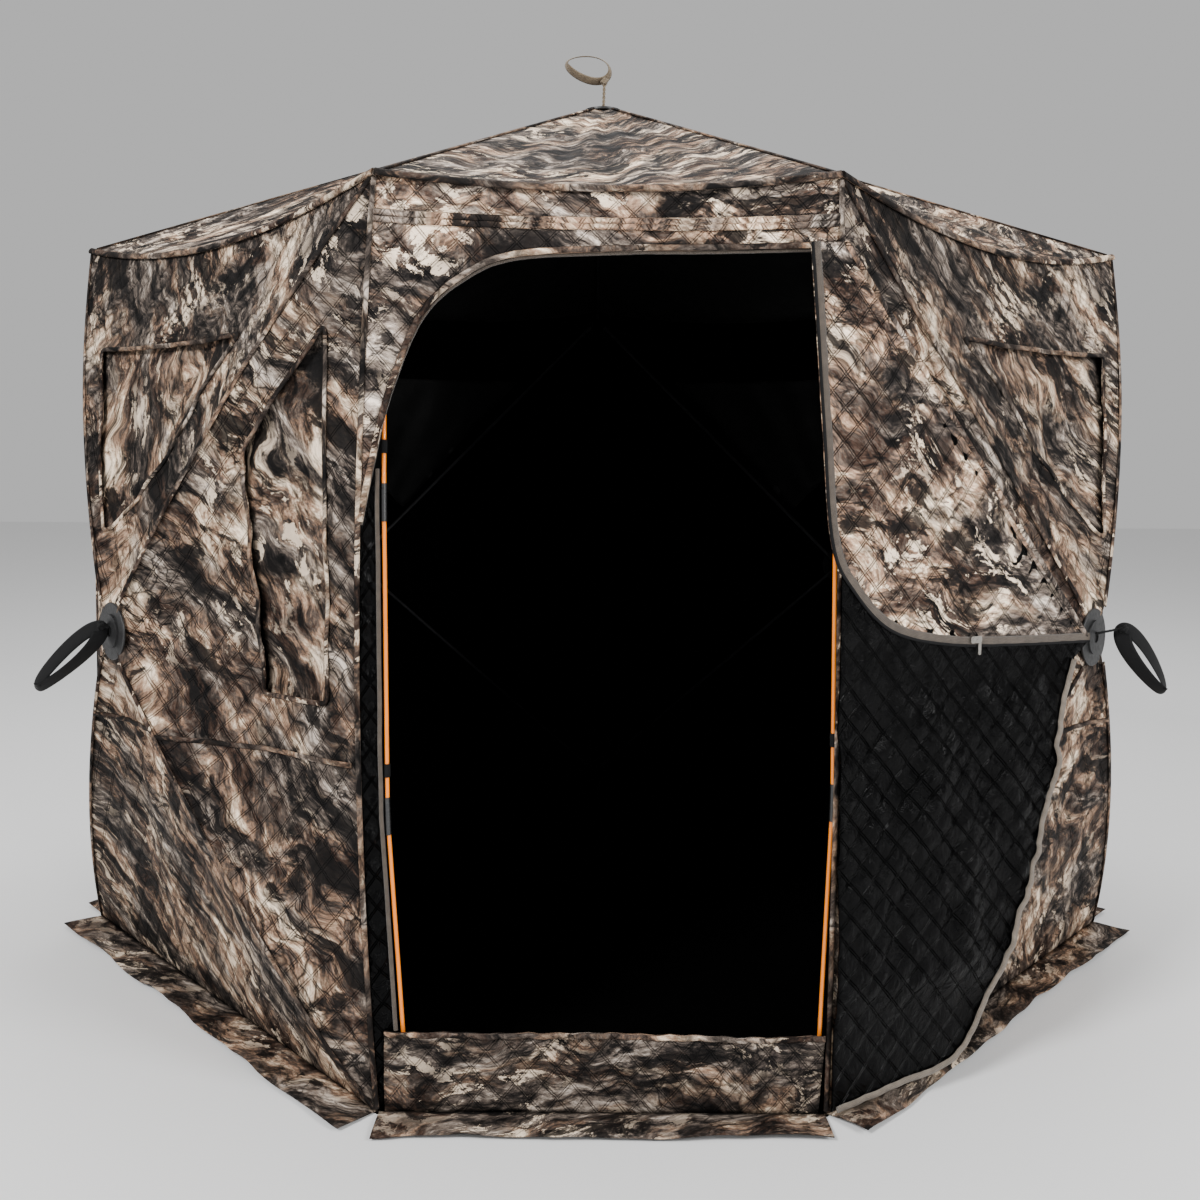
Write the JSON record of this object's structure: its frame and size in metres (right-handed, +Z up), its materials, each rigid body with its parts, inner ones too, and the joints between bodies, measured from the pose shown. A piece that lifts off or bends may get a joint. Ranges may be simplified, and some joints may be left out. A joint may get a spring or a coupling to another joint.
{
  "type": "pop up ground blind",
  "caption": "Hub-style pop up hunting blind with quilted camouflage walls pushed out by hubs and rods, a low pyramid roof and a full-height door folded open.",
  "frame": {"origin": "on the ground at the centre of the footprint with its skirt", "axes": "+X to the right seen from in front of the door, +Y from the door wall to the back corner, +Z up"},
  "size_m": [2.6486, 2.2603, 2.1607],
  "materials": {
    "camo_quilt": "matt quilted woven polyester, bark camouflage",
    "camo_roof": "matt woven polyester, bark camouflage",
    "camo_window": "matt fine woven polyester, darker camouflage",
    "camo_skirt": "matt woven polyester, bark camouflage",
    "black_quilt": "glossy coated black quilting",
    "door_quilt": "camouflage outside, glossy black quilting inside",
    "zip_tape": "brown woven tape with coil",
    "zip_metal": "dark painted metal",
    "orange_fibreglass": "glossy orange fibreglass",
    "ferrule_metal": "satin",
    "black_webbing": "ribbed webbing",
    "tan_webbing": "ribbed webbing",
    "pin_steel": "satin",
    "rod_fibreglass": "glossy black fibreglass",
    "hub_plastic": "moulded, matt"
  },
  "bodies": {
    "root": {"wall_left": "camo_quilt", "window_covers_left": "camo_window", "wall_right": "camo_quilt", "window_covers_right": "camo_window", "wall_back_left": "camo_quilt", "window_covers_back_left": "camo_window", "wall_back_right": "camo_quilt", "window_covers_back_right": "camo_window", "roof": "camo_roof", "front_header": "camo_quilt", "threshold_panel": "camo_quilt", "door_jamb_lining": "black_quilt", "door_zip_tape": "zip_tape", "ground_skirt": "camo_skirt", "door_poles": "orange_fibreglass", "pole_ferrules": "ferrule_metal", "pole_tabs": "black_webbing", "corner_pockets": "black_webbing"},
    "hub_left": {"hub_left": "hub_plastic", "rod_pins_left": "pin_steel", "hub_cap_left": "hub_plastic", "pull_strap_left": "black_webbing"},
    "hub_right": {"hub_right": "hub_plastic", "rod_pins_right": "pin_steel", "hub_cap_right": "hub_plastic", "pull_strap_right": "black_webbing"},
    "hub_back_left": {"hub_back_left": "hub_plastic", "rod_pins_back_left": "pin_steel", "hub_cap_back_left": "hub_plastic"},
    "hub_back_right": {"hub_back_right": "hub_plastic", "rod_pins_back_right": "pin_steel", "hub_cap_back_right": "hub_plastic"},
    "hub_roof": {"hub_roof": "hub_plastic", "rod_pins_roof": "pin_steel", "hub_cap_roof": "hub_plastic", "pull_strap_roof": "tan_webbing"},
    "rod_left_low_a": {"rod_left_low_a": "rod_fibreglass"},
    "rod_left_low_b": {"rod_left_low_b": "rod_fibreglass"},
    "rod_left_high_b": {"rod_left_high_b": "rod_fibreglass"},
    "rod_left_high_a": {"rod_left_high_a": "rod_fibreglass"},
    "rod_right_low_a": {"rod_right_low_a": "rod_fibreglass"},
    "rod_right_low_b": {"rod_right_low_b": "rod_fibreglass"},
    "rod_right_high_b": {"rod_right_high_b": "rod_fibreglass"},
    "rod_right_high_a": {"rod_right_high_a": "rod_fibreglass"},
    "rod_back_left_low_a": {"rod_back_left_low_a": "rod_fibreglass"},
    "rod_back_left_low_b": {"rod_back_left_low_b": "rod_fibreglass"},
    "rod_back_left_high_b": {"rod_back_left_high_b": "rod_fibreglass"},
    "rod_back_left_high_a": {"rod_back_left_high_a": "rod_fibreglass"},
    "rod_back_right_low_a": {"rod_back_right_low_a": "rod_fibreglass"},
    "rod_back_right_low_b": {"rod_back_right_low_b": "rod_fibreglass"},
    "rod_back_right_high_b": {"rod_back_right_high_b": "rod_fibreglass"},
    "rod_back_right_high_a": {"rod_back_right_high_a": "rod_fibreglass"},
    "rod_roof_front_left": {"rod_roof_front_left": "rod_fibreglass"},
    "rod_roof_front_right": {"rod_roof_front_right": "rod_fibreglass"},
    "rod_roof_right": {"rod_roof_right": "rod_fibreglass"},
    "rod_roof_back": {"rod_roof_back": "rod_fibreglass"},
    "rod_roof_left": {"rod_roof_left": "rod_fibreglass"},
    "door": {"door_panel": "door_quilt"},
    "door_corner": {"door_flap": "door_quilt"},
    "zip_slider": {"zip_slider": "zip_metal"}
  },
  "joints": [
    {"name": "left_hub_push", "type": "slide", "parent": "root", "child": "hub_left", "axis": [-0.7071, -0.7071, 0], "range_m": [-0.436, 0], "deforming": ["wall_left", "window_covers_left"]},
    {"name": "right_hub_push", "type": "slide", "parent": "root", "child": "hub_right", "axis": [0.7071, -0.7071, 0], "range_m": [-0.436, 0], "deforming": ["wall_right", "window_covers_right"]},
    {"name": "back_left_hub_push", "type": "slide", "parent": "root", "child": "hub_back_left", "axis": [-0.7071, 0.7071, 0], "range_m": [-0.436, 0], "deforming": ["wall_back_left", "window_covers_back_left"]},
    {"name": "back_right_hub_push", "type": "slide", "parent": "root", "child": "hub_back_right", "axis": [0.7071, 0.7071, 0], "range_m": [-0.436, 0], "deforming": ["wall_back_right", "window_covers_back_right"]},
    {"name": "roof_hub_push", "type": "slide", "parent": "root", "child": "hub_roof", "axis": [0, 0, 1], "range_m": [-0.69, 0], "deforming": ["roof"]},
    {"name": "left_low_a_pivot", "type": "hinge", "parent": "hub_left", "child": "rod_left_low_a", "pos_m": [-0.98011, -0.74126, 0.80154], "axis": [0.5711, -0.5711, -0.5897], "range_deg": [-27.26, 0]},
    {"name": "left_low_b_pivot", "type": "hinge", "parent": "hub_left", "child": "rod_left_low_b", "pos_m": [-0.95176, -0.76961, 0.80154], "axis": [0.5711, -0.5711, 0.5897], "range_deg": [-27.26, 0]},
    {"name": "left_high_b_pivot", "type": "hinge", "parent": "hub_left", "child": "rod_left_high_b", "pos_m": [-0.952, -0.76937, 0.85671], "axis": [-0.5762, 0.5762, 0.5796], "range_deg": [-26.75, 0]},
    {"name": "left_high_a_pivot", "type": "hinge", "parent": "hub_left", "child": "rod_left_high_a", "pos_m": [-0.97987, -0.7415, 0.85671], "axis": [-0.5762, 0.5762, -0.5796], "range_deg": [-26.75, 0]},
    {"name": "right_low_a_pivot", "type": "hinge", "parent": "hub_right", "child": "rod_right_low_a", "pos_m": [0.95176, -0.76961, 0.80154], "axis": [0.5711, 0.5711, -0.5897], "range_deg": [-27.26, 0]},
    {"name": "right_low_b_pivot", "type": "hinge", "parent": "hub_right", "child": "rod_right_low_b", "pos_m": [0.98011, -0.74126, 0.80154], "axis": [0.5711, 0.5711, 0.5897], "range_deg": [-27.26, 0]},
    {"name": "right_high_b_pivot", "type": "hinge", "parent": "hub_right", "child": "rod_right_high_b", "pos_m": [0.97987, -0.7415, 0.85671], "axis": [-0.5762, -0.5762, 0.5796], "range_deg": [-26.75, 0]},
    {"name": "right_high_a_pivot", "type": "hinge", "parent": "hub_right", "child": "rod_right_high_a", "pos_m": [0.952, -0.76937, 0.85671], "axis": [-0.5762, -0.5762, -0.5796], "range_deg": [-26.75, 0]},
    {"name": "back_left_low_a_pivot", "type": "hinge", "parent": "hub_back_left", "child": "rod_back_left_low_a", "pos_m": [-0.74583, 0.58654, 0.80585], "axis": [-0.4815, -0.4815, -0.7324], "range_deg": [-22.65, 0]},
    {"name": "back_left_low_b_pivot", "type": "hinge", "parent": "hub_back_left", "child": "rod_back_left_low_b", "pos_m": [-0.78104, 0.55133, 0.80585], "axis": [-0.4815, -0.4815, 0.7324], "range_deg": [-22.65, 0]},
    {"name": "back_left_high_b_pivot", "type": "hinge", "parent": "hub_back_left", "child": "rod_back_left_high_b", "pos_m": [-0.78083, 0.55154, 0.85247], "axis": [0.4882, 0.4882, 0.7234], "range_deg": [-22.35, 0]},
    {"name": "back_left_high_a_pivot", "type": "hinge", "parent": "hub_back_left", "child": "rod_back_left_high_a", "pos_m": [-0.74604, 0.58633, 0.85247], "axis": [0.4882, 0.4882, -0.7234], "range_deg": [-22.35, 0]},
    {"name": "back_right_low_a_pivot", "type": "hinge", "parent": "hub_back_right", "child": "rod_back_right_low_a", "pos_m": [0.78104, 0.55133, 0.80585], "axis": [-0.4815, 0.4815, -0.7324], "range_deg": [-22.65, 0]},
    {"name": "back_right_low_b_pivot", "type": "hinge", "parent": "hub_back_right", "child": "rod_back_right_low_b", "pos_m": [0.74583, 0.58654, 0.80585], "axis": [-0.4815, 0.4815, 0.7324], "range_deg": [-22.65, 0]},
    {"name": "back_right_high_b_pivot", "type": "hinge", "parent": "hub_back_right", "child": "rod_back_right_high_b", "pos_m": [0.74604, 0.58633, 0.85247], "axis": [0.4882, -0.4882, 0.7234], "range_deg": [-22.35, 0]},
    {"name": "back_right_high_a_pivot", "type": "hinge", "parent": "hub_back_right", "child": "rod_back_right_high_a", "pos_m": [0.78083, 0.55154, 0.85247], "axis": [0.4882, -0.4882, -0.7234], "range_deg": [-22.35, 0]},
    {"name": "roof_front_left_pivot", "type": "hinge", "parent": "hub_roof", "child": "rod_roof_front_left", "pos_m": [-0.01454, -0.22523, 1.995], "axis": [0.9039, -0.4277, 0], "range_deg": [-44.14, 0]},
    {"name": "roof_front_right_pivot", "type": "hinge", "parent": "hub_roof", "child": "rod_roof_front_right", "pos_m": [0.01454, -0.22523, 1.995], "axis": [0.9039, 0.4277, 0], "range_deg": [-44.14, 0]},
    {"name": "roof_right_pivot", "type": "hinge", "parent": "hub_roof", "child": "rod_roof_right", "pos_m": [0.034, -0.1945, 1.995], "axis": [0, 1, 0], "range_deg": [-33.04, 0]},
    {"name": "roof_back_pivot", "type": "hinge", "parent": "hub_roof", "child": "rod_roof_back", "pos_m": [0, -0.1605, 1.995], "axis": [-1, 0, 0], "range_deg": [-33.04, 0]},
    {"name": "roof_left_pivot", "type": "hinge", "parent": "hub_roof", "child": "rod_roof_left", "pos_m": [-0.034, -0.1945, 1.995], "axis": [0, -1, 0], "range_deg": [-33.04, 0]},
    {"name": "door_swing", "type": "hinge", "parent": "root", "child": "door", "pos_m": [0.409, -1.0665, 0], "axis": [0, 0, -1], "range_deg": [0, 204.3]},
    {"name": "door_corner_fold", "type": "hinge", "parent": "door", "child": "door_corner", "pos_m": [0.41023, -1.06923, 1.56], "axis": [-0.5783, -0.2608, 0.773], "range_deg": [0, 180]},
    {"name": "zip_pull", "type": "slide", "parent": "door_corner", "child": "zip_slider", "axis": [0.9116, 0.4111, 0], "range_m": [-0.04, 0.16]}
  ],
  "couplings": [
    {"joint": "left_low_a_pivot", "follows": "left_hub_push", "rad_per_m": 1.0873},
    {"joint": "left_low_b_pivot", "follows": "left_hub_push", "rad_per_m": 1.0873},
    {"joint": "left_high_b_pivot", "follows": "left_hub_push", "rad_per_m": 1.0669},
    {"joint": "left_high_a_pivot", "follows": "left_hub_push", "rad_per_m": 1.0669},
    {"joint": "right_low_a_pivot", "follows": "right_hub_push", "rad_per_m": 1.0873},
    {"joint": "right_low_b_pivot", "follows": "right_hub_push", "rad_per_m": 1.0873},
    {"joint": "right_high_b_pivot", "follows": "right_hub_push", "rad_per_m": 1.0669},
    {"joint": "right_high_a_pivot", "follows": "right_hub_push", "rad_per_m": 1.0669},
    {"joint": "back_left_low_a_pivot", "follows": "back_left_hub_push", "rad_per_m": 0.90266},
    {"joint": "back_left_low_b_pivot", "follows": "back_left_hub_push", "rad_per_m": 0.90266},
    {"joint": "back_left_high_b_pivot", "follows": "back_left_hub_push", "rad_per_m": 0.89069},
    {"joint": "back_left_high_a_pivot", "follows": "back_left_hub_push", "rad_per_m": 0.89069},
    {"joint": "back_right_low_a_pivot", "follows": "back_right_hub_push", "rad_per_m": 0.90266},
    {"joint": "back_right_low_b_pivot", "follows": "back_right_hub_push", "rad_per_m": 0.90266},
    {"joint": "back_right_high_b_pivot", "follows": "back_right_hub_push", "rad_per_m": 0.89069},
    {"joint": "back_right_high_a_pivot", "follows": "back_right_hub_push", "rad_per_m": 0.89069},
    {"joint": "roof_front_left_pivot", "follows": "roof_hub_push", "rad_per_m": 1.1141},
    {"joint": "roof_front_right_pivot", "follows": "roof_hub_push", "rad_per_m": 1.1141},
    {"joint": "roof_right_pivot", "follows": "roof_hub_push", "rad_per_m": 0.83317},
    {"joint": "roof_back_pivot", "follows": "roof_hub_push", "rad_per_m": 0.83317},
    {"joint": "roof_left_pivot", "follows": "roof_hub_push", "rad_per_m": 0.83317}
  ]
}
